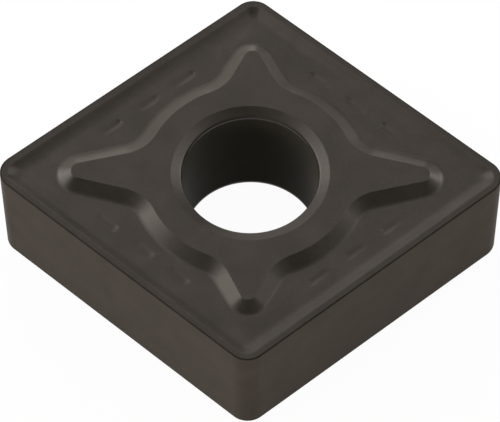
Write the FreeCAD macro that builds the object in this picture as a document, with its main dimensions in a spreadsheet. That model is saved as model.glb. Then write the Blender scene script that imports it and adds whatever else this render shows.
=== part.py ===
"""Double-sided rhombic carbide insert with a chip groove, a four-armed seating star and a round hole.

Millimetres. The acute corners lie on X, the obtuse corners on Y and the hole's axis on Z. The upper half is
modelled from the mid-plane up and mirrored, and the finished body stands on its lower star at z = 0.
"""
import FreeCAD, Part
import os
from math import cos, radians, sin, sqrt

import Sketcher
from FreeCAD import Placement, Rotation, Vector

# Name, value and meaning of each driving size, in millimetres or degrees.
SIZES = (
    ("inscribed_circle", 12.70, "diameter of the circle that touches the four flanks"),
    ("corner_angle", 80.0, "angle of the acute corners"),
    ("corner_radius", 0.80, "radius of the four corners seen from above"),
    ("thickness", 4.76, "from a cutting edge to the opposite seating face"),
    ("star_rise", 0.14, "height of the seating star above the cutting edge"),
    ("hone_radius", 0.06, "rounding of the cutting edge"),
    ("land_width", 0.30, "flat land behind the cutting edge"),
    ("groove_depth", 0.15, "depth of the floor below the cutting edge"),
    ("groove_slope", 22.6, "angle of the groove's wall to the floor"),
    ("floor_corner_radius", 0.06, "corner radius of the floor's outline, at the foot of the wall"),
    ("groove_foot_radius", 0.90, "concave blend from the slope to the floor"),
    ("groove_crest_radius", 0.25, "convex blend from the land to the slope"),
    ("hub_radius", 3.95, "radius of the star's round hub"),
    ("long_reach", 6.75, "from the centre to the tip of an arm on X"),
    ("long_tip_radius", 0.34, "tip radius of the arms on X"),
    ("long_flank_angle", 14.1, "angle between an arm's side and its axis, arms on X"),
    ("short_reach", 5.57, "from the centre to the tip of an arm on Y"),
    ("short_tip_radius", 0.29, "tip radius of the arms on Y"),
    ("short_flank_angle", 25.6, "angle between an arm's side and its axis, arms on Y"),
    ("web_radius", 1.65, "hollow corner between the hub and an arm"),
    ("star_slope", 28.0, "angle of the star's sides to the seating face"),
    ("star_foot_radius", 0.62, "concave blend from the star's sides to the floor"),
    ("bore_diameter", 5.16, "through hole for the clamping screw or pin"),
    ("sink_width", 0.41, "width of the countersink's ring, from the hole's wall outwards"),
    ("sink_angle", 120.0, "included angle of the countersink"),
    ("bore_lip_radius", 0.20, "blend from the countersink to the hole"),
    ("dimple_length", 1.00, "length of a dimple along the cutting edge"),
    ("dimple_width", 0.34, "width of a dimple"),
    ("dimple_depth", 0.06, "depth of a dimple in the floor"),
    ("dimple_slope", 32.0, "angle of a dimple's walls to the floor"),
    ("dimple_inset", 1.31, "from the flank to the middle of a dimple"),
    ("dimple_pitch", 1.78, "distance between dimples along the flank"),
    ("dimple_shift", -0.93, "middle dimple from the flank's centre, towards the obtuse corner"),
)
DIMPLES_PER_FLANK = 3

# Lengths that follow from the sizes, as formulas on the sheet.
EDGE_LEVEL = "(sizes.thickness - sizes.star_rise) / 2"
STAR_LEVEL = "(sizes.thickness + sizes.star_rise) / 2"
FLOOR_LEVEL = f"{EDGE_LEVEL} - sizes.groove_depth"
FLANK = "sizes.inscribed_circle / 2"
HALF_ANGLE = "sizes.corner_angle / 2"
LAND_FLANK = f"{FLANK} - sizes.land_width"
LAND_CORNER = "sizes.floor_corner_radius + sizes.groove_depth / tan(sizes.groove_slope * 1 deg)"
SINK_DIAMETER = "sizes.bore_diameter + 2 * sizes.sink_width"
SINK_DEPTH = "sizes.sink_width / tan(sizes.sink_angle / 2 * 1 deg)"
LIP_LEVEL = f"{STAR_LEVEL} - {SINK_DEPTH}"

LEVEL_TOLERANCE = 1e-4


def make_sheet(doc):
    """The sheet of driving sizes, one named cell each."""
    sheet = doc.addObject("Spreadsheet::Sheet", "sizes")
    for row, (alias, value, meaning) in enumerate(SIZES, start=1):
        sheet.set(f"A{row}", alias)
        sheet.set(f"B{row}", str(value))
        sheet.set(f"C{row}", meaning)
        sheet.setAlias(f"B{row}", alias)
    doc.recompute()
    return sheet


def value_of(body, formula):
    """Number that a formula on the sheet gives, without its unit."""
    result = body.evalExpression(formula)
    return float(getattr(result, "Value", result))


def plane_of(body, role):
    """One of the body's own origin planes."""
    return next(item for item in body.Origin.OriginFeatures if item.Role == role)


def new_sketch(body, name, level):
    """Sketch parallel to the mid-plane at the height that a formula gives."""
    sketch = body.newObject("Sketcher::SketchObject", name)
    sketch.AttachmentSupport = (plane_of(body, "XY_Plane"), [""])
    sketch.MapMode = "FlatFace"
    sketch.setExpression("AttachmentOffset.Base.z", f"({level}) * 1 mm")
    return sketch


def quarter_turn(point, quarters):
    """A point turned about the hole's axis by a number of quarter turns."""
    return Rotation(Vector(0, 0, 1), 90 * quarters).multVec(point)


class Outline:
    """Closed run of lines and arcs in a sketch, each tangent to the next."""

    def __init__(self, sketch):
        self.sketch = sketch
        self.ends = []

    def line(self, first, last):
        """Straight stretch between two points."""
        index = self.sketch.addGeometry(Part.LineSegment(first, last), False)
        self.ends.append((index, 1, 2))
        return index

    def arc(self, centre, first, last, left_turn=True):
        """Round stretch about a centre, turning left or right on its way."""
        start, stop = (first, last) if left_turn else (last, first)
        circle = Part.Circle(centre, Vector(0, 0, 1), (first - centre).Length)
        curve = Part.ArcOfCircle(circle, circle.parameter(start), circle.parameter(stop))
        index = self.sketch.addGeometry(curve, False)
        self.ends.append((index, 1, 2) if left_turn else (index, 2, 1))
        return index

    def close(self, joint="Tangent"):
        """Joins each stretch to the next, the last one to the first."""
        for here, after in zip(self.ends, self.ends[1:] + self.ends[:1]):
            self.sketch.addConstraint(Sketcher.Constraint(joint, here[0], here[2], after[0], after[1]))

    def bind(self, name, formula, unit, *constraint):
        """Adds a dimension and ties it to a formula on the sheet."""
        index = self.sketch.addConstraint(Sketcher.Constraint(*constraint))
        self.sketch.renameConstraint(index, name)
        self.sketch.setExpression(f"Constraints.{name}", f"({formula}) * 1 {unit}")

    def place_centre(self, name, index, quarter, distance, centre):
        """Keeps an arc's centre on X or Y, at a distance from the middle of the insert."""
        on_x = quarter % 2 == 0
        self.sketch.addConstraint(Sketcher.Constraint("PointOnObject", index, 3, -1 if on_x else -2))
        away = abs(centre.x if on_x else centre.y)
        kind = "DistanceX" if on_x else "DistanceY"
        pair = (-1, 1, index, 3) if quarter < 2 else (index, 3, -1, 1)
        self.bind(name, distance, "mm", kind, *pair, away)


def rhombus_sketch(body, name, level, flank, corner):
    """Rounded rhombus whose sides lie at the flank distance from the centre."""
    sketch = new_sketch(body, name, level)
    outline = Outline(sketch)
    half_angle, radius = value_of(body, HALF_ANGLE), value_of(body, corner)
    reaches = [f"(({flank}) - ({corner})) / {rule}({HALF_ANGLE} * 1 deg)" for rule in ("sin", "cos")]
    flank_turns = (half_angle - 90, 90 - half_angle, 90 + half_angle, 270 - half_angle)
    directions = [Rotation(Vector(0, 0, 1), turn).multVec(Vector(1, 0, 0)) for turn in flank_turns]
    centres = [quarter_turn(Vector(value_of(body, reaches[quarter % 2]), 0, 0), quarter)
               for quarter in range(4)]
    for quarter, centre in enumerate(centres):
        before, after = directions[quarter], directions[(quarter + 1) % 4]
        arc = outline.arc(centre, centre + before * radius, centre + after * radius)
        following = centres[(quarter + 1) % 4]
        outline.line(centre + after * radius, following + after * radius)
        outline.bind(f"corner_{quarter}", corner, "mm", "Radius", arc, radius)
        outline.place_centre(f"reach_{quarter}", arc, quarter, reaches[quarter % 2], centre)
    outline.close()
    return sketch


class Arm:
    """Key points of one arm of the seating star, worked out along X and turned to the arm's quarter."""

    def __init__(self, body, quarter):
        self.quarter = quarter
        self.kind = ("long", "short")[quarter % 2]
        self.hub, self.web = value_of(body, "sizes.hub_radius"), value_of(body, "sizes.web_radius")
        self.tip = value_of(body, f"sizes.{self.kind}_tip_radius")
        self.angle = value_of(body, f"sizes.{self.kind}_flank_angle")
        half = radians(self.angle)
        inward, outward = Vector(-cos(half), sin(half), 0), Vector(sin(half), cos(half), 0)
        self.tip_centre = Vector(value_of(body, f"sizes.{self.kind}_reach") - self.tip, 0, 0)
        self.side_start = self.tip_centre + outward * self.tip
        beside = self.side_start + outward * self.web
        along = beside.dot(inward)
        run = -along - sqrt(along ** 2 - beside.dot(beside) + (self.hub + self.web) ** 2)
        self.side_end = self.side_start + inward * run
        self.web_centre = beside + inward * run
        self.hub_point = self.web_centre * (self.hub / (self.hub + self.web))

    def left(self, point):
        """Where a key point lies on the arm's left side."""
        return quarter_turn(point, self.quarter)

    def right(self, point):
        """Where a key point lies on the arm's right side."""
        return self.left(Vector(point.x, -point.y, 0))


def draw_arm(outline, arm):
    """One arm of the star, from its right web round the tip to its left web."""
    tip, web, angle = f"sizes.{arm.kind}_tip_radius", "sizes.web_radius", f"sizes.{arm.kind}_flank_angle"
    web_in = outline.arc(arm.right(arm.web_centre), arm.right(arm.hub_point), arm.right(arm.side_end),
                         left_turn=False)
    side_out = outline.line(arm.right(arm.side_end), arm.right(arm.side_start))
    nose = outline.arc(arm.left(arm.tip_centre), arm.right(arm.side_start), arm.left(arm.side_start))
    side_in = outline.line(arm.left(arm.side_start), arm.left(arm.side_end))
    web_out = outline.arc(arm.left(arm.web_centre), arm.left(arm.side_end), arm.left(arm.hub_point),
                          left_turn=False)
    for name, arc, formula, radius in (("web_in", web_in, web, arm.web), ("tip", nose, tip, arm.tip),
                                       ("web_out", web_out, web, arm.web)):
        outline.bind(f"{name}_{arm.quarter}", formula, "mm", "Radius", arc, radius)
    outward = 90 * arm.quarter
    outline.bind(f"side_out_{arm.quarter}", f"{outward} + {angle}", "deg",
                 "Angle", side_out, radians(outward + arm.angle))
    outline.bind(f"side_in_{arm.quarter}", f"{outward} - 180 - {angle}", "deg",
                 "Angle", side_in, radians(outward - 180 - arm.angle))
    outline.place_centre(f"reach_{arm.quarter}", nose, arm.quarter, f"sizes.{arm.kind}_reach - {tip}",
                         arm.left(arm.tip_centre))


def star_sketch(body):
    """Outline of the seating star: a round hub with two long and two short tapered arms."""
    sketch = new_sketch(body, "star_outline", STAR_LEVEL)
    outline = Outline(sketch)
    arms = [Arm(body, quarter) for quarter in range(4)]
    for arm, following in zip(arms, arms[1:] + arms[:1]):
        draw_arm(outline, arm)
        hub = outline.arc(Vector(0, 0, 0), arm.left(arm.hub_point), following.right(following.hub_point))
        sketch.addConstraint(Sketcher.Constraint("Coincident", hub, 3, -1, 1))
        outline.bind(f"hub_{arm.quarter}", "sizes.hub_radius", "mm", "Radius", hub, arm.hub)
    outline.close()
    return sketch


def circle_sketch(body, name, level, diameter):
    """Circle about the hole's axis."""
    sketch = new_sketch(body, name, level)
    radius = value_of(body, diameter) / 2
    circle = sketch.addGeometry(Part.Circle(Vector(0, 0, 0), Vector(0, 0, 1), radius), False)
    sketch.addConstraint(Sketcher.Constraint("Coincident", circle, 3, -1, 1))
    index = sketch.addConstraint(Sketcher.Constraint("Diameter", circle, 2 * radius))
    sketch.renameConstraint(index, "diameter")
    sketch.setExpression("Constraints.diameter", f"{diameter} * 1 mm")
    return sketch


def dimple_sketch(body):
    """First dimple of the row beside the flank that faces -X and +Y: a long hexagon along the flank."""
    sketch = new_sketch(body, "dimple_outline", FLOOR_LEVEL)
    sketch.setExpression("AttachmentOffset.Rotation.Angle", f"{HALF_ANGLE} * 1 deg")
    along, away = "sizes.dimple_shift - sizes.dimple_pitch", f"{FLANK} - sizes.dimple_inset"
    half_length, half_width = "sizes.dimple_length / 2", "sizes.dimple_width / 2"
    shoulder = f"({half_length} - {half_width})"
    corners = ((f"{along} - {half_length}", away),
               (f"{along} - {shoulder}", f"{away} - {half_width}"),
               (f"{along} + {shoulder}", f"{away} - {half_width}"),
               (f"{along} + {half_length}", away),
               (f"{along} + {shoulder}", f"{away} + {half_width}"),
               (f"{along} - {shoulder}", f"{away} + {half_width}"))
    points = [Vector(value_of(body, x), value_of(body, y), 0) for x, y in corners]
    outline = Outline(sketch)
    sides = [outline.line(point, after) for point, after in zip(points, points[1:] + points[:1])]
    outline.close("Coincident")
    for side, point, (x, y) in zip(sides, points, corners):
        outline.bind(f"along_{side}", x, "mm", "DistanceX", -1, 1, side, 1, point.x)
        outline.bind(f"away_{side}", y, "mm", "DistanceY", -1, 1, side, 1, point.y)
    return sketch


def spans(shape, low, high):
    """Whether a face or an edge reaches from the low level to the high level and no further."""
    box = shape.BoundBox
    return abs(box.ZMin - low) < LEVEL_TOLERANCE and abs(box.ZMax - high) < LEVEL_TOLERANCE


def rim_edges(feature, level, low, high):
    """Names of the level edges that bound the walls which climb from the low to the high level."""
    shape = feature.Shape
    rims = [edge for face in shape.Faces if spans(face, low, high)
            for edge in face.Edges if spans(edge, level, level)]
    return [f"Edge{number}" for number, edge in enumerate(shape.Edges, start=1)
            if any(edge.isSame(rim) for rim in rims)]


def blend(body, name, base, edges, radius):
    """Rounds the named edges of the feature before it."""
    fillet = body.newObject("PartDesign::Fillet", name)
    fillet.Base = (base, edges)
    fillet.setExpression("Radius", f"({radius}) * 1 mm")
    body.Document.recompute()
    return fillet


def add_blank(body):
    """Upper half of the plain rhombic blank, with its honed cutting edge."""
    blank = body.newObject("PartDesign::Pad", "blank")
    blank.Profile = rhombus_sketch(body, "blank_outline", "0", FLANK, "sizes.corner_radius")
    blank.setExpression("Length", f"({EDGE_LEVEL}) * 1 mm")
    body.Document.recompute()
    edge = value_of(body, EDGE_LEVEL)
    return blend(body, "cutting_edge_hone", blank, rim_edges(blank, edge, 0, edge), "sizes.hone_radius")


def add_chip_groove(body):
    """Sunk floor inside the land, with a sloped wall that is blended at its crest and its foot."""
    groove = body.newObject("PartDesign::Pocket", "chip_groove")
    groove.Profile = rhombus_sketch(body, "land_outline", EDGE_LEVEL, LAND_FLANK, LAND_CORNER)
    groove.setExpression("Length", "sizes.groove_depth * 1 mm")
    groove.setExpression("TaperAngle", "(sizes.groove_slope - 90) * 1 deg")
    body.Document.recompute()
    floor, edge = value_of(body, FLOOR_LEVEL), value_of(body, EDGE_LEVEL)
    crest_edges = rim_edges(groove, edge, floor, edge)
    crest = blend(body, "groove_crest", groove, crest_edges, "sizes.groove_crest_radius")
    wall_top = max(face.BoundBox.ZMax for face in crest.Shape.Faces
                   if abs(face.BoundBox.ZMin - floor) < LEVEL_TOLERANCE)
    foot_edges = rim_edges(crest, floor, floor, wall_top)
    return blend(body, "groove_foot", crest, foot_edges, "sizes.groove_foot_radius")


def add_star(body):
    """Raised seating star with sloped sides, blended into the floor."""
    star = body.newObject("PartDesign::Pad", "seating_star")
    star.Profile = star_sketch(body)
    star.Reversed = True
    star.setExpression("Length", "(sizes.star_rise + sizes.groove_depth) * 1 mm")
    star.setExpression("TaperAngle", "(90 - sizes.star_slope) * 1 deg")
    body.Document.recompute()
    floor, top = value_of(body, FLOOR_LEVEL), value_of(body, STAR_LEVEL)
    return blend(body, "star_foot", star, rim_edges(star, floor, floor, top), "sizes.star_foot_radius")


def add_dimples(body):
    """Rows of shallow oblong dimples in the floor, one row beside each flank."""
    dimple = body.newObject("PartDesign::Pocket", "dimple")
    outline = dimple_sketch(body)
    dimple.Profile = outline
    dimple.setExpression("Length", "sizes.dimple_depth * 1 mm")
    dimple.setExpression("TaperAngle", "(sizes.dimple_slope - 90) * 1 deg")
    body.Document.recompute()
    rows = body.newObject("PartDesign::MultiTransform", "dimple_rows")
    rows.Originals = [dimple]
    row = body.newObject("PartDesign::LinearPattern", "dimple_row")
    row.Direction = (outline, ["H_Axis"])
    row.setExpression("Length", f"sizes.dimple_pitch * {DIMPLES_PER_FLANK - 1} * 1 mm")
    row.Occurrences = DIMPLES_PER_FLANK
    across = body.newObject("PartDesign::Mirrored", "dimples_across")
    across.MirrorPlane = (plane_of(body, "YZ_Plane"), [""])
    along = body.newObject("PartDesign::Mirrored", "dimples_along")
    along.MirrorPlane = (plane_of(body, "XZ_Plane"), [""])
    rows.Transformations = [row, across, along]
    body.Tip = rows
    body.Document.recompute()
    return rows


def add_hole(body):
    """Countersunk through hole, blended where the countersink meets the hole."""
    hole = body.newObject("PartDesign::Hole", "bore")
    hole.Profile = circle_sketch(body, "bore_outline", STAR_LEVEL, "sizes.bore_diameter")
    body.Document.recompute()
    hole.DepthType = "ThroughAll"
    hole.HoleCutType = "Countersink"
    hole.HoleCutCustomValues = True
    hole.setExpression("Diameter", "sizes.bore_diameter * 1 mm")
    hole.setExpression("HoleCutDiameter", f"({SINK_DIAMETER}) * 1 mm")
    hole.setExpression("HoleCutCountersinkAngle", "sizes.sink_angle * 1 deg")
    body.Document.recompute()
    lip, top = value_of(body, LIP_LEVEL), value_of(body, STAR_LEVEL)
    return blend(body, "bore_lip", hole, rim_edges(hole, lip, lip, top), "sizes.bore_lip_radius")


def mirror_half(body):
    """Lower half, the mirror image of the upper one."""
    whole = body.newObject("PartDesign::Mirrored", "both_faces")
    whole.TransformMode = "Whole shape"
    whole.MirrorPlane = (plane_of(body, "XY_Plane"), [""])
    body.Tip = whole
    body.Document.recompute()
    return whole


def report_step(feature):
    """Prints how a feature came out, for whoever builds the part."""
    shape = feature.Shape
    print(f"{feature.Name}: state {feature.State}, volume {shape.Volume:.3f} mm3, valid {shape.isValid()}")


def make_insert(doc):
    """The whole insert as one body."""
    body = doc.addObject("PartDesign::Body", "insert_body")
    body.Label = "insert_body"
    for step in (add_blank, add_chip_groove, add_star, add_dimples, add_hole, mirror_half):
        report_step(step(body))
    body.Placement = Placement(Vector(0, 0, value_of(body, STAR_LEVEL)), Rotation())
    doc.recompute()
    return body


def check_document(doc, bodies):
    """Stops before anything is written if a feature failed or a shape is not sound."""
    failed = [item.Name for item in doc.Objects if {"Invalid", "Error"} & set(item.State)]
    if failed:
        raise RuntimeError(f"features that failed: {failed}")
    for body in bodies:
        if body.Shape.isNull() or not body.Shape.isValid() or len(body.Shape.Solids) != 1:
            raise RuntimeError(f"{body.Label} is not one sound solid")


def main():
    """Builds the document and writes each sub-part to its own file."""
    doc = FreeCAD.newDocument("carbide_insert")
    make_sheet(doc)
    bodies = [make_insert(doc)]
    check_document(doc, bodies)
    os.makedirs("parts", exist_ok=True)
    for body in bodies:
        body.Shape.exportStep(os.path.join("parts", f"{body.Label}.step"))
        box = body.Shape.BoundBox
        print(f"{body.Label}: {box.XLength:.3f} x {box.YLength:.3f} x {box.ZLength:.3f} mm, "
              f"volume {body.Shape.Volume:.2f} mm3")


main()
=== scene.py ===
"""A coated carbide turning insert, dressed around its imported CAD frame."""

import logging
import math
from dataclasses import dataclass, field
from enum import Enum

import bmesh
import bpy
from mathutils import Matrix, Vector


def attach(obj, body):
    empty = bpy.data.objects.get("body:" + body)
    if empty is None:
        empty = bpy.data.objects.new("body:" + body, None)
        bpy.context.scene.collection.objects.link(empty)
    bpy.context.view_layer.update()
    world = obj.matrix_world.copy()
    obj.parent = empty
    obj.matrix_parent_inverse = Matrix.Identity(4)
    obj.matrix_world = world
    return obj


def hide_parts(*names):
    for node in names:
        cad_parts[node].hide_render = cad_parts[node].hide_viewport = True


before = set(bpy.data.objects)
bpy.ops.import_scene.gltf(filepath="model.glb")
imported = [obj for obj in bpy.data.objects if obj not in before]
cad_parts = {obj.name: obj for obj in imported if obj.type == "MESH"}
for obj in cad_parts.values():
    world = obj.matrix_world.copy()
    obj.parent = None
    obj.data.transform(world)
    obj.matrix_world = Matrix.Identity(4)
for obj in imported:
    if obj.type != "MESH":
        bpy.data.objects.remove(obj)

log = logging.getLogger("insert")

MM = 0.001
PICTURE_WIDTH = 500
CAD_NODE = "insert_body"

Point = tuple[float, float]
Place = tuple[float, float, float]
Colour = tuple[float, float, float]

BLACK: Colour = (0.0, 0.0, 0.0)
WHITE: Colour = (1.0, 1.0, 1.0)
WARM: Colour = (1.0, 0.93, 0.86)
CENTRE: Point = (0.0, 0.0)


def turn(angle: float) -> Point:
    """The unit vector at this many degrees from +X."""
    return math.cos(math.radians(angle)), math.sin(math.radians(angle))


def angle_of(facing: Point) -> float:
    """How many degrees a direction is turned from +X."""
    return math.degrees(math.atan2(facing[1], facing[0]))


def span(first: float, last: float, steps: int) -> list[float]:
    """Evenly spaced values from first to last.

    Args:
        first: The first value.
        last: The last value.
        steps: How many spaces lie between them.

    Returns:
        The steps + 1 values.
    """
    return [first + (last - first) * k / steps for k in range(steps + 1)]


def between(start: Point, end: Point, share: float) -> Point:
    """The point this share of the way from one point to another."""
    return start[0] + (end[0] - start[0]) * share, start[1] + (end[1] - start[1]) * share


@dataclass(frozen=True)
class Station:
    """One point of a quarter outline, with the direction that faces out of it."""

    at: Point
    facing: Point

    def moved(self, distance: float) -> Point:
        """The point this far outside the outline."""
        return self.at[0] + self.facing[0] * distance, self.at[1] + self.facing[1] * distance

    def swapped(self) -> "Station":
        """The same station with its X and its Y exchanged."""
        return Station(self.at[::-1], self.facing[::-1])


def arc(centre: Point, radius: float, angles: list[float]) -> list[Station]:
    """Stations along an arc.

    Args:
        centre: The arc's centre.
        radius: Its radius; with a minus sign the stations face the centre.
        angles: Where the stations face, in degrees from +X.

    Returns:
        One station for each angle.
    """
    return [Station(Station(centre, turn(angle)).moved(radius), turn(angle)) for angle in angles]


@dataclass(frozen=True)
class Arm:
    """One tapered arm of the seating star, in its own direction.

    At its tip its side is lower than at the hub, by the share of the full height that fade gives.
    """

    reach: float
    tip_radius: float
    flank_angle: float
    fade: float
    tip_steps: int
    flank_steps: int
    web_steps: int

    def tip_centre(self) -> float:
        """Where the centre of the rounded tip lies along the arm."""
        return self.reach - self.tip_radius

    def flank_distance(self) -> float:
        """How far the arm's flank line runs from the centre of the insert."""
        slope = math.sin(math.radians(self.flank_angle))
        return self.tip_centre() * slope + self.tip_radius


@dataclass(frozen=True)
class SeatingStar:
    """The raised four-armed star round the hole, which the insert sits on."""

    hub_radius: float = 3.95
    hub_steps: int = 34
    web_radius: float = 1.65
    long_arm: Arm = Arm(
        reach=6.75, tip_radius=0.34, flank_angle=14.1, fade=0.08, tip_steps=28, flank_steps=22, web_steps=16
    )
    short_arm: Arm = Arm(
        reach=5.57, tip_radius=0.29, flank_angle=25.6, fade=0.14, tip_steps=24, flank_steps=14, web_steps=14
    )
    slope: float = 28.0
    foot_radius: float = 0.42
    foot_steps: int = 8
    edge_radius: float = 0.04

    def relief(self, at: Point) -> float:
        """How high the star's side is beside a point of its outline.

        Args:
            at: The point.

        Returns:
            The share of the full height, from 1 at the hub down to its least at an arm's tip.
        """
        arm = self.long_arm if at[0] > at[1] else self.short_arm
        out = (math.hypot(*at) - self.hub_radius) / (arm.reach - self.hub_radius)
        return 1.0 - arm.fade * max(out, 0.0) ** 2

    def web_centre(self, arm: Arm) -> Point:
        """The centre of the web beside an arm that points along +X, above it.

        Args:
            arm: The arm that the web joins to the hub.

        Returns:
            The centre, in millimetres.
        """
        out, along = turn(90.0 - arm.flank_angle), turn(-arm.flank_angle)
        rise = arm.flank_distance() + self.web_radius
        reach = math.sqrt((self.hub_radius + self.web_radius) ** 2 - rise ** 2)
        return out[0] * rise + along[0] * reach, out[1] * rise + along[1] * reach

    def arm_stations(self, arm: Arm) -> list[Station]:
        """Half an arm that points along +X, from its tip to the hub.

        Args:
            arm: The arm.

        Returns:
            The stations, tip first, ending where the hub begins.
        """
        side = 90.0 - arm.flank_angle
        out, centre = turn(side), self.web_centre(arm)
        stations = arc((arm.tip_centre(), 0.0), arm.tip_radius, span(0.0, side, arm.tip_steps))
        start, end = stations[-1].at, Station(centre, out).moved(-self.web_radius)
        shares = span(0.0, 1.0, arm.flank_steps)[1:]
        stations += [Station(between(start, end, share), out) for share in shares]
        web = span(side, angle_of(centre), arm.web_steps)[1:]
        return stations + arc(centre, -self.web_radius, web)

    def quarter(self) -> list[Station]:
        """The outline from the long arm's tip on +X to the short arm's tip on +Y.

        Returns:
            The stations, in that order.
        """
        long_half, short_half = self.arm_stations(self.long_arm), self.arm_stations(self.short_arm)
        first, last = angle_of(long_half[-1].facing), 90.0 - angle_of(short_half[-1].facing)
        hub = arc(CENTRE, self.hub_radius, span(first, last, self.hub_steps)[1:-1])
        return long_half + hub + [station.swapped() for station in reversed(short_half)]


@dataclass(frozen=True)
class Rhombus:
    """The outline family of the blank: a rhombus with rounded corners."""

    corner_angle: float = 80.0
    nose_steps: int = 14
    blunt_steps: int = 12

    def facing(self) -> float:
        """Where the flank from the +X corner to the +Y corner faces, in degrees from +X."""
        return 90.0 - self.corner_angle / 2

    def shift(self, point: Point) -> float:
        """How far along that flank a point stands, from its middle towards the +Y corner."""
        out = turn(self.facing())
        return point[1] * out[0] - point[0] * out[1]

    def reach(self, point: Point) -> float:
        """How far out towards that flank a point stands, from the centre."""
        out = turn(self.facing())
        return point[0] * out[0] + point[1] * out[1]

    def quarter(self, flank: float, radius: float, along: list[float]) -> list[Point]:
        """The outline from the acute corner on +X to the blunt corner on +Y.

        Args:
            flank: The distance of the straight flanks from the centre.
            radius: The radius of all four corners.
            along: Where the points between the corners stand on the flank, from 0 to 1.

        Returns:
            The points, in millimetres.
        """
        half, facing = math.radians(self.corner_angle / 2), self.facing()
        nose, blunt = (flank - radius) / math.sin(half), (flank - radius) / math.cos(half)
        nose_arc = arc((nose, 0.0), radius, span(0.0, facing, self.nose_steps))
        blunt_arc = arc((0.0, blunt), radius, span(facing, 90.0, self.blunt_steps))
        straight = [between(nose_arc[-1].at, blunt_arc[0].at, share) for share in along]
        return [station.at for station in nose_arc] + straight + [station.at for station in blunt_arc]


@dataclass(frozen=True)
class Dimples:
    """The row of three shallow marks along each side of the groove floor, deeper at one end."""

    length: float = 1.10
    width: float = 0.42
    depth: float = 0.042
    thin_end: float = 0.30
    reach: float = 5.04
    shift: float = -0.93
    pitch: float = 1.78

    def sink(self, reach: float, shift: float) -> float:
        """How far the floor is pressed down at a place.

        Args:
            reach: How far out towards its side of the insert the place stands.
            shift: How far along that side it stands, from the middle towards the blunt corner.

        Returns:
            The depth there, in millimetres.
        """
        along = min((shift - self.shift - self.pitch * place for place in (-1, 0, 1)), key=abs)
        beyond = max(abs(along) - (self.length - self.width) / 2, 0.0)
        away = math.hypot(beyond, reach - self.reach) / (self.width / 2)
        if away >= 1.0:
            return 0.0
        share = min(max(along / self.length + 0.5, 0.0), 1.0)
        taper = self.thin_end + (1.0 - self.thin_end) * share
        return self.depth * taper * (1.0 + math.cos(math.pi * away)) / 2


@dataclass(frozen=True)
class FloorSpread:
    """How the rings of the groove floor are spread, so that most of them cross the dimples.

    A lane runs out over the floor, from 0 at the star to 1 at the groove's outer side. The rings stand
    close together in one band of it, which reaches by the margin to either side of the dimples' middle.
    Before that band and within it lie the shares of the rings given here, and the rest lie after it.
    """

    rings: int = 20
    margin: float = 0.24
    lowest_start: float = 0.10
    highest_start: float = 0.55
    least_width: float = 0.20
    highest_end: float = 0.90
    share_before: float = 0.25
    share_within: float = 0.55

    def band(self, first: float, last: float, middle: float) -> Point:
        """Where the close band starts and ends on a lane.

        Args:
            first: How far out the lane starts.
            last: How far out it ends.
            middle: How far out the dimples stand.

        Returns:
            Both places on the lane, from 0 to 1.
        """
        start, end = ((middle + side - first) / (last - first) for side in (-self.margin, self.margin))
        start = min(max(start, self.lowest_start), self.highest_start)
        return start, min(max(end, start + self.least_width), self.highest_end)

    def place(self, part: float, band: Point) -> float:
        """Where a ring crosses a lane.

        Args:
            part: The part of all rings that lie before this one, from 0 to 1.
            band: Where the close band starts and ends on the lane.

        Returns:
            The place on the lane, from 0 to 1.
        """
        start, end = band
        if part < self.share_before:
            return start * part / self.share_before
        past = part - self.share_before
        if past < self.share_within:
            return start + (end - start) * past / self.share_within
        share_after = 1.0 - self.share_before - self.share_within
        return end + (1.0 - end) * (past - self.share_within) / share_after


class Surface(Enum):
    """The surfaces of the insert, each with its own finish."""

    PRESSED = "pressed"
    LAND = "land"
    # The hone's finish is a darker, less glossy copy of the coating, which paints a dark line along the
    # edge.
    HONE = "hone"
    GROUND = "ground"
    BORE = "bore"


@dataclass(frozen=True)
class Ring:
    """One closed line of points round the insert, at its own height above the mid-plane.

    The surface is that of the band between this ring and the one before it.
    """

    quarter: list[Point]
    height: float | list[float]
    surface: Surface = Surface.PRESSED

    def points(self) -> list[Place]:
        """All four quarters of the ring.

        Returns:
            The points in metres, anticlockwise from +X.
        """
        levels = self.height if isinstance(self.height, list) else [self.height] * len(self.quarter)
        half = [(x, y, z) for (x, y), z in zip(self.quarter, levels)]
        half += [(-x, y, z) for x, y, z in reversed(half[:-1])]
        whole = half + [(x, -y, z) for x, y, z in reversed(half[1:-1])]
        return [(x * MM, y * MM, z * MM) for x, y, z in whole]


def new_group(
    name: str, inputs: dict[str, float | Colour], outputs: dict[str, str]
) -> bpy.types.NodeTree:
    """Starts a shader node group.

    Args:
        name: The group's name.
        inputs: Its inputs with their default values; a colour has three numbers.
        outputs: Its outputs with their socket types.

    Returns:
        The group, with its input and output nodes named "in" and "out".
    """
    group = bpy.data.node_groups.new(name, "ShaderNodeTree")
    for key, value in inputs.items():
        kind = "NodeSocketColor" if isinstance(value, tuple) else "NodeSocketFloat"
        socket = group.interface.new_socket(name=key, in_out="INPUT", socket_type=kind)
        socket.default_value = (*value, 1.0) if isinstance(value, tuple) else value
    for key, kind in outputs.items():
        group.interface.new_socket(name=key, in_out="OUTPUT", socket_type=kind)
    group.nodes.new("NodeGroupInput").name = "in"
    group.nodes.new("NodeGroupOutput").name = "out"
    return group


def add_noise(group: bpy.types.NodeTree, scale: str, detail: float, warp: float = 0.0) -> bpy.types.Node:
    """Adds a noise texture that reads Object coordinates.

    Args:
        group: The node group that it goes into.
        scale: The input of the group that sets its scale.
        detail: How many finer layers it has.
        warp: How much it is warped.

    Returns:
        The noise node.
    """
    place = group.nodes.new("ShaderNodeTexCoord")
    noise = group.nodes.new("ShaderNodeTexNoise")
    noise.inputs["Detail"].default_value = detail
    noise.inputs["Distortion"].default_value = warp
    group.links.new(place.outputs["Object"], noise.inputs["Vector"])
    group.links.new(group.nodes["in"].outputs[scale], noise.inputs["Scale"])
    return noise


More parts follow.
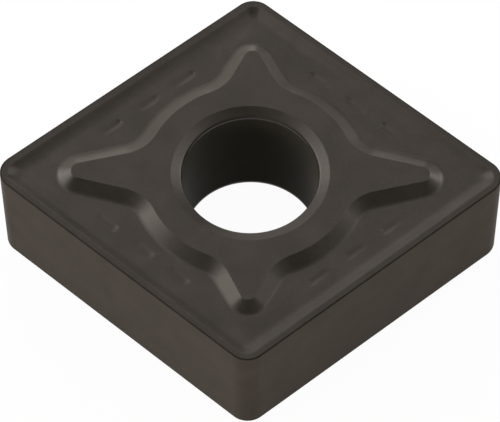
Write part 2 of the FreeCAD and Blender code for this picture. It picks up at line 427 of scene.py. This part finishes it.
def add_blend(
    group: bpy.types.NodeTree, first: bpy.types.Node, second: bpy.types.Node, share: float
) -> bpy.types.NodeSocket:
    """Blends two noise textures.

    Args:
        group: The node group that they are in.
        first: The one noise node.
        second: The other one.
        share: The second one's share, from 0 to 1.

    Returns:
        The output with the blended value.
    """
    blend = group.nodes.new("ShaderNodeMix")
    blend.inputs["Factor"].default_value = share
    group.links.new(first.outputs["Fac"], blend.inputs["A"])
    group.links.new(second.outputs["Fac"], blend.inputs["B"])
    return blend.outputs["Result"]


def add_math(
    tree: bpy.types.NodeTree, kind: str, *values: float | bpy.types.NodeSocket
) -> bpy.types.NodeSocket:
    """Adds one step of arithmetic to a node tree.

    Args:
        tree: The node tree that it goes into.
        kind: The operation.
        values: The numbers or outputs that it works on.

    Returns:
        The output with the result.
    """
    step = tree.nodes.new("ShaderNodeMath")
    step.operation = kind
    for slot, value in zip(step.inputs, values):
        if isinstance(value, bpy.types.NodeSocket):
            tree.links.new(value, slot)
        else:
            slot.default_value = value
    return step.outputs[0]


@dataclass(frozen=True)
class Mottle:
    """The coating's cloudy shade: a colour and a roughness that drift over the surface."""

    patch_scale: float = 900.0
    patch_detail: float = 3.0
    patch_warp: float = 0.4
    speck_scale: float = 9000.0
    speck_detail: float = 2.0
    speck_share: float = 0.4
    darkest_at: float = 0.35
    lightest_at: float = 0.65

    def group(self) -> bpy.types.NodeTree:
        """Makes the node group.

        Returns:
            The group, which puts out a colour and a roughness.
        """
        group = new_group(
            "coating mottle",
            {"Dark": BLACK, "Light": WHITE, "Patches": self.patch_scale, "Specks": self.speck_scale,
             "Smoothest": 0.4, "Roughest": 0.5},
            {"Colour": "NodeSocketColor", "Roughness": "NodeSocketFloat"},
        )
        nodes, links = group.nodes, group.links
        patches = add_noise(group, "Patches", self.patch_detail, self.patch_warp)
        specks = add_noise(group, "Specks", self.speck_detail)
        spread = nodes.new("ShaderNodeMapRange")
        spread.inputs["From Min"].default_value = self.darkest_at
        spread.inputs["From Max"].default_value = self.lightest_at
        links.new(add_blend(group, patches, specks, self.speck_share), spread.inputs["Value"])
        paint = nodes.new("ShaderNodeMix")
        paint.data_type = "RGBA"
        links.new(spread.outputs["Result"], paint.inputs["Factor"])
        links.new(nodes["in"].outputs["Dark"], paint.inputs["A"])
        links.new(nodes["in"].outputs["Light"], paint.inputs["B"])
        links.new(paint.outputs["Result"], nodes["out"].inputs["Colour"])
        rough = nodes.new("ShaderNodeMapRange")
        links.new(specks.outputs["Fac"], rough.inputs["Value"])
        links.new(nodes["in"].outputs["Smoothest"], rough.inputs["To Min"])
        links.new(nodes["in"].outputs["Roughest"], rough.inputs["To Max"])
        links.new(rough.outputs["Result"], nodes["out"].inputs["Roughness"])
        return group


@dataclass(frozen=True)
class SinteredGrain:
    """The sintered grain under the coating, as a gently disturbed normal."""

    grain_scale: float = 14000.0
    wave_scale: float = 1500.0
    detail: float = 2.0
    wave_warp: float = 0.3
    wave_share: float = 0.5
    height: float = 0.01 * MM

    def group(self) -> bpy.types.NodeTree:
        """Makes the node group.

        Returns:
            The group, which puts out a normal.
        """
        group = new_group(
            "sintered grain",
            {"Grain": self.grain_scale, "Waves": self.wave_scale, "Depth": 0.1},
            {"Normal": "NodeSocketVector"},
        )
        nodes, links = group.nodes, group.links
        grain = add_noise(group, "Grain", self.detail)
        waves = add_noise(group, "Waves", self.detail, self.wave_warp)
        bump = nodes.new("ShaderNodeBump")
        bump.inputs["Distance"].default_value = self.height
        links.new(add_blend(group, grain, waves, self.wave_share), bump.inputs["Height"])
        links.new(nodes["in"].outputs["Depth"], bump.inputs["Strength"])
        links.new(bump.outputs["Normal"], nodes["out"].inputs["Normal"])
        return group


@dataclass(frozen=True)
class CoatedCarbide:
    """The dark warm-grey hard coating, as it comes out on one of the surfaces."""

    name: str
    dark: Colour
    light: Colour
    smoothest: float
    roughest: float
    gloss: float
    grain: float
    tint: Colour = (1.0, 0.885, 0.805)

    def material(self, mottle: bpy.types.NodeTree, sinter: bpy.types.NodeTree) -> bpy.types.Material:
        """Makes the material.

        Args:
            mottle: The group for the cloudy shade.
            sinter: The group for the grain.

        Returns:
            The new material.
        """
        made = bpy.data.materials.new(self.name)
        made.use_nodes = True
        nodes, links = made.node_tree.nodes, made.node_tree.links
        shader = nodes["Principled BSDF"]
        shade = nodes.new("ShaderNodeGroup")
        shade.node_tree = mottle
        shade.inputs["Dark"].default_value = (*self.dark, 1.0)
        shade.inputs["Light"].default_value = (*self.light, 1.0)
        shade.inputs["Smoothest"].default_value = self.smoothest
        shade.inputs["Roughest"].default_value = self.roughest
        grain = nodes.new("ShaderNodeGroup")
        grain.node_tree = sinter
        grain.inputs["Depth"].default_value = self.grain
        links.new(shade.outputs["Colour"], shader.inputs["Base Color"])
        links.new(shade.outputs["Roughness"], shader.inputs["Roughness"])
        links.new(grain.outputs["Normal"], shader.inputs["Normal"])
        shader.inputs["Specular IOR Level"].default_value = self.gloss
        shader.inputs["Specular Tint"].default_value = (*self.tint, 1.0)
        return made


FINISHES = {
    Surface.PRESSED: CoatedCarbide(
        name="pressed coated carbide", dark=(0.010, 0.0086, 0.0070), light=(0.020, 0.0170, 0.0138),
        smoothest=0.31, roughest=0.39, gloss=0.40, grain=0.28,
    ),
    Surface.LAND: CoatedCarbide(
        name="land coated carbide", dark=(0.010, 0.0086, 0.0070), light=(0.018, 0.0153, 0.0124),
        smoothest=0.31, roughest=0.39, gloss=0.35, grain=0.28,
    ),
    # Painted shade: the hone's colour is darker and its gloss lower than the rest of the coating. This
    # paints in the dark line along the cutting edge, on top of the dark reflection that the rounded hone
    # already gives.
    Surface.HONE: CoatedCarbide(
        name="honed coated carbide with painted dark edge line", dark=(0.008, 0.0068, 0.0055), light=(0.012, 0.0102, 0.0082),
        smoothest=0.35, roughest=0.45, gloss=0.14, grain=0.10,
    ),
    Surface.GROUND: CoatedCarbide(
        name="ground coated carbide", dark=(0.053, 0.0430, 0.0345), light=(0.065, 0.0530, 0.0425),
        smoothest=0.42, roughest=0.52, gloss=0.02, grain=0.12,
    ),
    Surface.BORE: CoatedCarbide(
        name="bore coated carbide", dark=(0.034, 0.0310, 0.0205), light=(0.043, 0.0390, 0.0260),
        smoothest=0.45, roughest=0.55, gloss=0.02, grain=0.20,
    ),
}


@dataclass
class Insert:
    """The whole insert: one pressed body, modelled from its mid-plane and mirrored.

    Sizes are in millimetres and angles in degrees. A hold is how far from a rounding an extra ring
    stands, so that the plain face beside it stays flat.
    """

    half_height: float = 2.45
    edge_level: float = 2.31
    floor_level: float = 2.16
    star: SeatingStar = field(default_factory=SeatingStar)
    blank: Rhombus = field(default_factory=Rhombus)
    dimples: Dimples = field(default_factory=Dimples)
    spread: FloorSpread = field(default_factory=FloorSpread)
    bore_radius: float = 2.58
    sink_radius: float = 3.00
    sink_slope: float = 18.5
    sink_edge_radius: float = 0.05
    lip_radius: float = 0.10
    lip_steps: int = 7
    lip_hold: float = 0.06
    top_start: float = 0.04
    top_steps: int = 4
    top_hold: float = 0.05
    face_hold: float = 0.03
    slope_hold: float = 0.02
    groove_slope: float = 22.6
    groove_foot_radius: float = 0.90
    groove_foot_flank: float = 5.51
    groove_foot_steps: int = 8
    crest_radius: float = 0.25
    crest_flank: float = 6.10
    crest_steps: int = 5
    flank: float = 6.35
    nose_radius: float = 0.80
    corner_radii: tuple[Point, ...] = (
        (5.0, 0.20), (5.51, 0.25), (5.69, 0.30), (5.86, 0.36), (6.004, 0.43), (6.10, 0.50), (6.29, 0.74),
        (6.35, 0.80),
    )
    hone_radius: float = 0.052
    hone_steps: int = 6
    # Up to this angle round the hone, the band takes the material with the painted dark edge line.
    painted_dark_line_angle: float = 50.0
    weld: float = 0.001
    stations: list[Station] = field(init=False)
    reliefs: list[float] = field(init=False)
    along: list[float] = field(init=False)

    def __post_init__(self) -> None:
        """Works out the star's stations and the lanes that run from them to the rim."""
        self.stations = self.star.quarter()
        self.reliefs = [self.star.relief(station.at) for station in self.stations]
        self.along = self.lanes()

    def lanes(self) -> list[float]:
        """Where the lanes between two corners meet the rim.

        Beside the star they run square to the rim, and round an arm's tip they fan out.

        Returns:
            Their places on the rim's straight part, from 0 at the acute corner to 1.
        """
        blank, flank = self.blank, self.groove_foot_flank
        rim = blank.quarter(flank, self.corner_radius(flank), [])
        start, end = (blank.shift(point) for point in rim[blank.nose_steps:blank.nose_steps + 2])
        places = [blank.shift(point) for point in self.star_ring(self.star_foot(), 0.0).quarter]
        first, last = blank.nose_steps, len(places) - 1 - blank.blunt_steps
        near = self.star.long_arm.tip_steps
        far = len(places) - 1 - self.star.short_arm.tip_steps
        for k in range(first, near):
            places[k] = start + (places[near] - start) * (k - first) / (near - first)
        for k in range(far + 1, last + 1):
            places[k] = places[far] + (end - places[far]) * (k - far) / (last - far)
        return [(place - start) / (end - start) for place in places[first + 1:last]]

    def star_foot(self) -> float:
        """How far outside the star's outline its foot meets the groove floor.

        Returns:
            The distance where the star's side has its full height.
        """
        slope = math.radians(self.star.slope)
        run = (self.half_height - self.floor_level) / math.tan(slope)
        return run + self.star.foot_radius * math.tan(slope / 2)

    def corner_radius(self, flank: float) -> float:
        """The corner radius of the groove's outline.

        Args:
            flank: How far out the outline's flank stands.

        Returns:
            The radius, between those given for the flanks on either side of this one.
        """
        for (low, small), (high, large) in zip(self.corner_radii, self.corner_radii[1:]):
            if flank <= high:
                return small + (large - small) * (flank - low) / (high - low)
        return self.nose_radius

    def circle(self, radius: float, height: float, surface: Surface = Surface.PRESSED) -> Ring:
        """A round ring whose points stand across from the star's stations.

        Args:
            radius: Its radius.
            height: Its height above the mid-plane.
            surface: The surface of the band before it.

        Returns:
            The ring.
        """
        even = span(0.0, 90.0, len(self.stations) - 1)
        polar = [angle_of(station.at) for station in self.stations]
        mixed = [(a + b) / 2 for a, b in zip(even, polar)]
        return Ring([station.at for station in arc(CENTRE, radius, mixed)], height, surface)

    def star_ring(self, offset: float, drop: float) -> Ring:
        """A ring beside the star's outline, nearer to it where the star's side is lower.

        Args:
            offset: How far outside the outline it is where the side has its full height.
            drop: How far below the star's top it is there.

        Returns:
            The ring.
        """
        places = [s.moved(offset * share) for s, share in zip(self.stations, self.reliefs)]
        return Ring(places, [self.half_height - drop * share for share in self.reliefs])

    def rim_ring(self, flank: float, height: float, surface: Surface = Surface.PRESSED) -> Ring:
        """A ring with the blank's outline.

        Args:
            flank: How far out its flank stands.
            height: Its height above the mid-plane.
            surface: The surface of the band before it.

        Returns:
            The ring.
        """
        return Ring(self.blank.quarter(flank, self.corner_radius(flank), self.along), height, surface)

    def hole_rings(self) -> list[Ring]:
        """The bore wall, its rounded lip and the countersink, up to the star's top.

        Returns:
            The rings, from the bore's middle upwards and outwards.
        """
        top, slope = self.half_height, math.radians(self.sink_slope)
        turned = math.pi / 2 - slope
        sink_depth = (self.sink_radius - self.bore_radius) * math.tan(slope)
        lip_start = top - sink_depth - self.lip_radius * math.tan(turned / 2)
        levels = (0.0, lip_start - self.lip_hold)
        rings = [self.circle(self.bore_radius, level, Surface.BORE) for level in levels]
        centre = self.bore_radius + self.lip_radius
        for angle in span(0.0, turned, self.lip_steps):
            radius = centre - self.lip_radius * math.cos(angle)
            rings.append(self.circle(radius, lip_start + self.lip_radius * math.sin(angle)))
        inner, outer = centre - self.lip_radius * math.cos(turned), self.sink_radius
        cut, hold = self.sink_edge_radius * math.tan(slope / 2), self.face_hold
        for radius in (inner + hold, (inner + outer) / 2, outer - cut - hold, outer - cut):
            rings.append(self.circle(radius, top - (outer - radius) * math.tan(slope)))
        rings.append(self.circle(outer, top - cut * math.tan(slope / 4)))
        return rings + [self.circle(radius, top) for radius in (outer + cut, outer + cut + hold)]

    def star_rings(self) -> list[Ring]:
        """The star's top, its crisp edge, its sloping sides and their blended foot.

        Returns:
            The rings, from the countersink outwards.
        """
        top, slope = self.half_height, math.radians(self.star.slope)
        inner = self.circle(self.sink_radius + self.top_start, top).quarter
        outer = self.star_ring(-self.top_hold, 0.0).quarter
        rings = [
            Ring([between(a, b, share) for a, b in zip(inner, outer)], top)
            for share in span(0.0, 1.0, self.top_steps)[1:]
        ]
        cut, hold = self.star.edge_radius * math.tan(slope / 2), self.face_hold
        rings += [self.star_ring(-cut, 0.0), self.star_ring(0.0, cut * math.tan(slope / 4))]
        radius, foot = self.star.foot_radius, self.star_foot()
        start = foot - radius * math.sin(slope)
        for offset in (cut, cut + hold, (cut + start) / 2, start - hold):
            rings.append(self.star_ring(offset, offset * math.tan(slope)))
        for angle in span(slope, 0.0, self.star.foot_steps):
            drop = top - self.floor_level - radius * (1.0 - math.cos(angle))
            rings.append(self.star_ring(foot - radius * math.sin(angle), drop))
        return rings

    def floor_rings(self, first: Ring, last: Ring) -> list[Ring]:
        """The groove's floor, with its rows of dimples.

        Args:
            first: The ring at the star's foot.
            last: The ring where the groove's outer side begins.

        Returns:
            The rings between the two.
        """
        lanes = []
        for start, end in zip(first.quarter, last.quarter):
            near, far = self.blank.reach(start), self.blank.reach(end)
            lanes.append((start, end, self.spread.band(near, far, self.dimples.reach)))
        rings = []
        for k in range(1, self.spread.rings):
            shares = [self.spread.place(k / self.spread.rings, band) for _, _, band in lanes]
            places = [between(start, end, share) for (start, end, _), share in zip(lanes, shares)]
            levels = [
                self.floor_height(at, share, foot) for at, share, foot in zip(places, shares, first.height)
            ]
            rings.append(Ring(places, levels))
        return rings

    def floor_height(self, at: Point, share: float, foot: float) -> float:
        """The height of the groove floor at a place, above the mid-plane.

        Args:
            at: The place.
            share: Where it stands on its lane, from 0 at the star to 1.
            foot: The height where that lane leaves the star.

        Returns:
            The height, which comes down softly from the star's foot to the floor's level.
        """
        rest = 1.0 - share * share * (3.0 - 2.0 * share)
        sink = self.dimples.sink(self.blank.reach(at), self.blank.shift(at))
        return self.floor_level + (foot - self.floor_level) * rest - sink

    def groove_rings(self) -> list[Ring]:
        """The groove's outer side, from its blended foot to its rounded crest.

        Returns:
            The rings, from the floor outwards.
        """
        slope, foot = math.radians(self.groove_slope), self.groove_foot_radius
        rings = [
            self.rim_ring(self.groove_foot_flank + foot * math.sin(angle),
                          self.floor_level + foot * (1.0 - math.cos(angle)))
            for angle in span(0.0, slope, self.groove_foot_steps)
        ]
        low = self.groove_foot_flank + foot * math.sin(slope)
        low_level = self.floor_level + foot * (1.0 - math.cos(slope))
        high = self.crest_flank - self.crest_radius * math.sin(slope)
        for flank in (low + self.slope_hold, high - self.slope_hold):
            rings.append(self.rim_ring(flank, low_level + (flank - low) * math.tan(slope)))
        for angle in span(slope, 0.0, self.crest_steps):
            flank = self.crest_flank - self.crest_radius * math.sin(angle)
            rings.append(self.rim_ring(flank, self.edge_level - self.crest_radius * (1.0 - math.cos(angle))))
        return rings

    def edge_rings(self) -> list[Ring]:
        """The land, the honed edge and the flank.

        Returns:
            The rings, from the groove's crest outwards and down to the mid-plane.
        """
        hone, edge = self.flank - self.hone_radius, self.edge_level
        rings = [
            self.rim_ring(flank, edge, Surface.LAND)
            for flank in (self.crest_flank + self.face_hold, hone - self.slope_hold)
        ]
        for angle in span(0.0, math.pi / 2, self.hone_steps):
            # The first part of the hone takes the material with the painted dark edge line, and the rest
            # takes the ground flank's.
            surface = Surface.HONE if angle < math.radians(self.painted_dark_line_angle) else Surface.GROUND
            level = edge - self.hone_radius * (1.0 - math.cos(angle))
            rings.append(self.rim_ring(hone + self.hone_radius * math.sin(angle), level, surface))
        levels = (edge - self.hone_radius - self.face_hold, 0.0)
        return rings + [self.rim_ring(self.flank, level, Surface.GROUND) for level in levels]

    def lay_out(self) -> list[Ring]:
        """All rings of the upper half.

        Returns:
            The rings, from the bore's middle over the top to the flank's middle.
        """
        star, groove = self.star_rings(), self.groove_rings()
        floor = self.floor_rings(star[-1], groove[0])
        return self.hole_rings() + star + floor + groove + self.edge_rings()

    def build(self) -> bpy.types.Object:
        """Models and dresses the insert, and puts it in the place of its CAD node.

        Returns:
            The finished object, at the origin.
        """
        rings = self.lay_out()
        bpy.ops.object.select_all(action="DESELECT")
        bpy.ops.mesh.primitive_circle_add(vertices=len(rings[0].points()), radius=self.bore_radius * MM)
        made = bpy.context.object
        made.name = "coated_insert"
        made.data.name = made.name
        self.dress(made)
        self.draw_half(made, rings)
        self.close(made)
        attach(made, "root")
        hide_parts(CAD_NODE)
        return made

    def dress(self, made: bpy.types.Object) -> None:
        """Gives the insert one material for each of its surfaces.

        Args:
            made: The insert's object.
        """
        mottle, sinter = Mottle().group(), SinteredGrain().group()
        for finish in FINISHES.values():
            made.data.materials.append(finish.material(mottle, sinter))

    def draw_half(self, made: bpy.types.Object, rings: list[Ring]) -> None:
        """Draws the upper half out of the circle, one ring at a time.

        Args:
            made: The insert's object, still a circle of edges.
            rings: All rings of the half.
        """
        bpy.ops.object.mode_set(mode="EDIT")
        bpy.ops.mesh.select_all(action="SELECT")
        mesh = bmesh.from_edit_mesh(made.data)
        line = self.settle(list(mesh.verts), rings[0])
        bmesh.update_edit_mesh(made.data)
        for ring in rings[1:]:
            bpy.ops.mesh.extrude_region_move()
            mesh = bmesh.from_edit_mesh(made.data)
            mesh.verts.index_update()
            mesh.verts.ensure_lookup_table()
            drawn = []
            for vert in (mesh.verts[index] for index in line):
                ends = (edge.other_vert(vert) for edge in vert.link_edges)
                drawn.append(next(end for end in ends if end.select))
            line = self.settle(drawn, ring)
            bmesh.update_edit_mesh(made.data)
        bpy.ops.object.mode_set(mode="OBJECT")

    def settle(self, line: list[bmesh.types.BMVert], ring: Ring) -> list[int]:
        """Puts a line of points in the place of a ring, with the ring's surface before it.

        Args:
            line: The points.
            ring: The ring.

        Returns:
            The points' numbers in the mesh.
        """
        number = list(FINISHES).index(ring.surface)
        for vert, at in zip(line, ring.points()):
            vert.co = at
            for face in vert.link_faces:
                face.material_index = number
        return [vert.index for vert in line]

    def close(self, made: bpy.types.Object) -> None:
        """Mirrors the upper half and stands the insert on the floor.

        Args:
            made: The insert's object, with the upper half drawn.
        """
        mirror = made.modifiers.new("lower half", "MIRROR")
        mirror.use_axis = (False, False, True)
        mirror.use_clip = True
        mirror.merge_threshold = self.weld * MM
        bpy.ops.object.modifier_apply(modifier=mirror.name)
        made.location = (0.0, 0.0, self.half_height * MM)
        bpy.ops.object.transform_apply(location=True, rotation=True, scale=True)
        bpy.ops.object.mode_set(mode="EDIT")
        bpy.ops.mesh.select_all(action="SELECT")
        bpy.ops.mesh.normals_make_consistent(inside=False)
        bpy.ops.object.mode_set(mode="OBJECT")
        bpy.ops.object.shade_smooth()


def seen_from(azimuth: float, elevation: float) -> Vector:
    """The direction from the insert to something that stands round it.

    Args:
        azimuth: Degrees round from -Y, by way of +X.
        elevation: Degrees above the floor.

    Returns:
        The unit vector.
    """
    around, above = math.radians(azimuth), math.radians(elevation)
    level = math.cos(above)
    return Vector((math.sin(around) * level, -math.cos(around) * level, math.sin(above)))


@dataclass(frozen=True)
class SoftBox:
    """A large soft lamp that looks at the insert, in metres and degrees."""

    name: str
    azimuth: float
    elevation: float
    width: float
    depth: float
    level: float
    colour: Colour = WHITE
    distance: float = 1.0

    def build(self) -> bpy.types.Object:
        """Puts the lamp up.

        Returns:
            The lamp's object.
        """
        lamp = bpy.data.lights.new(self.name, "AREA")
        lamp.shape = "RECTANGLE"
        lamp.size, lamp.size_y = self.width, self.depth
        lamp.energy = self.level * math.pi * self.width * self.depth
        lamp.color = self.colour
        made = bpy.data.objects.new(self.name, lamp)
        bpy.context.scene.collection.objects.link(made)
        back = seen_from(self.azimuth, self.elevation)
        made.location = back * self.distance
        made.rotation_euler = back.to_track_quat("Z", "Y").to_euler()
        return made


@dataclass
class Studio:
    """The pale floor, the soft lamps and the camera.

    Lengths are in metres and angles in degrees, apart from the sensor, which is in millimetres, and
    the focal length, which is in pixels of the picture.
    """

    floor_half: float = 3.0
    floor_shade: float = 0.80
    floor_glow: float = 0.96
    sky_level: float = 0.29
    horizon_level: float = 0.70
    horizon_fall: float = 8.0
    zenith_dip: float = 0.16
    zenith_fall: float = 12.0
    sensor: float = 36.0
    focal_pixels: float = 3266.731
    nearest: float = 0.005
    farthest: float = 50.0
    camera_distance: float = 0.124768
    elevation: float = 57.792
    azimuth: float = 1.23
    roll: float = -0.386
    slide: Point = (-0.000019, -0.000153)
    look_height: float = 0.00245
    boxes: tuple[SoftBox, ...] = (
        SoftBox("left key lamp", 233.0, 32.0, 0.35, 0.30, 9.2),
        SoftBox("right key lamp", 127.0, 33.5, 0.35, 0.30, 8.5),
        SoftBox("low left strip", 213.0, 10.0, 0.80, 0.28, 1.6, WARM),
        SoftBox("low right strip", 137.0, 12.0, 0.52, 0.26, 1.4, WARM),
        SoftBox("back panel", 188.0, 34.0, 0.54, 0.35, 1.8),
        SoftBox("top left panel", 236.0, 54.0, 0.55, 0.50, 2.8),
        SoftBox("top right panel", 126.0, 55.0, 0.50, 0.50, 1.7),
        SoftBox("top back panel", 180.0, 60.0, 0.52, 0.42, 0.81),
        SoftBox("left panel", 262.0, 33.0, 0.45, 0.50, 4.4),
        SoftBox("right panel", 90.0, 35.0, 0.45, 0.45, 0.85),
        SoftBox("low back strip", 181.5, 3.0, 0.32, 0.10, 6.8, WARM),
        SoftBox("low fill strip", 158.0, 8.0, 0.24, 0.14, 1.1, WARM),
        SoftBox("low front strip", 337.0, 8.0, 1.20, 0.22, 2.7),
    )

    def floor_paint(self) -> bpy.types.Material:
        """Makes the floor's paint, which shows white and keeps a faint shadow.

        Returns:
            The new material.
        """
        paint = bpy.data.materials.new("pale floor")
        paint.use_nodes = True
        tree = paint.node_tree
        nodes, links = tree.nodes, tree.links
        nodes.clear()
        out = nodes.new("ShaderNodeOutputMaterial")
        card = nodes.new("ShaderNodeBsdfDiffuse")
        card.inputs["Color"].default_value = (*[self.floor_shade] * 3, 1.0)
        glow = nodes.new("ShaderNodeEmission")
        glow.inputs["Strength"].default_value = 1.0
        path = nodes.new("ShaderNodeLightPath")
        seen = add_math(tree, "MAXIMUM", path.outputs["Is Camera Ray"], path.outputs["Is Glossy Ray"])
        seen = add_math(tree, "MAXIMUM", seen, path.outputs["Is Transmission Ray"])
        mix = nodes.new("ShaderNodeMixShader")
        links.new(add_math(tree, "MULTIPLY", seen, self.floor_glow), mix.inputs["Fac"])
        links.new(card.outputs[0], mix.inputs[1])
        links.new(glow.outputs[0], mix.inputs[2])
        links.new(mix.outputs[0], out.inputs["Surface"])
        return paint

    def build_floor(self) -> None:
        """Lays the pale floor."""
        bpy.ops.object.select_all(action="DESELECT")
        bpy.ops.mesh.primitive_plane_add(size=2 * self.floor_half)
        floor = bpy.context.object
        floor.name = "pale_floor"
        floor.data.materials.append(self.floor_paint())

    def build_sky(self) -> None:
        """Sets the soft light of the room: bright low down, darker overhead."""
        world = bpy.data.worlds.new("soft room")
        bpy.context.scene.world = world
        world.use_nodes = True
        tree = world.node_tree
        nodes, links = tree.nodes, tree.links
        nodes.clear()
        place = nodes.new("ShaderNodeTexCoord")
        split = nodes.new("ShaderNodeSeparateXYZ")
        links.new(place.outputs["Generated"], split.inputs[0])
        height = add_math(tree, "ABSOLUTE", split.outputs["Z"])
        low = add_math(tree, "POWER", add_math(tree, "SUBTRACT", 1.0, height), self.horizon_fall)
        high = add_math(tree, "POWER", height, self.zenith_fall)
        level = add_math(tree, "MULTIPLY_ADD", low, self.horizon_level, self.sky_level)
        level = add_math(tree, "MULTIPLY_ADD", high, -self.zenith_dip, level)
        glow = nodes.new("ShaderNodeBackground")
        glow.inputs["Color"].default_value = (*WARM, 1.0)
        out = nodes.new("ShaderNodeOutputWorld")
        links.new(level, glow.inputs["Strength"])
        links.new(glow.outputs[0], out.inputs["Surface"])

    def build_camera(self) -> None:
        """Stands the camera where the photograph was taken from."""
        lens = bpy.data.cameras.new("camera")
        lens.sensor_width = self.sensor
        lens.lens = self.sensor * self.focal_pixels / PICTURE_WIDTH
        lens.clip_start, lens.clip_end = self.nearest, self.farthest
        camera = bpy.data.objects.new("camera", lens)
        bpy.context.scene.collection.objects.link(camera)
        back = seen_from(self.azimuth, self.elevation)
        level = Vector((*turn(self.azimuth), 0.0))
        rise = back.cross(level)
        lean = turn(self.roll)
        right = level * lean[0] + rise * lean[1]
        up = rise * lean[0] - level * lean[1]
        at = back * self.camera_distance + level * self.slide[0] + rise * self.slide[1]
        at.z += self.look_height
        turned = Matrix((right, up, back)).transposed().to_4x4()
        camera.matrix_world = Matrix.Translation(at) @ turned
        bpy.context.scene.camera = camera

    def build(self) -> None:
        """Sets the whole studio up."""
        self.build_camera()
        self.build_floor()
        self.build_sky()
        for box in self.boxes:
            box.build()
            log.info("lamp %s", box.name)
        bpy.context.scene.view_settings.view_transform = "Standard"


def main() -> None:
    logging.basicConfig(level=logging.INFO, format="%(name)s: %(message)s")
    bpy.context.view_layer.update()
    Studio().build()
    made = Insert().build()
    log.info("%s: %d faces", made.name, len(made.data.polygons))


if __name__ == "__main__":
    main()
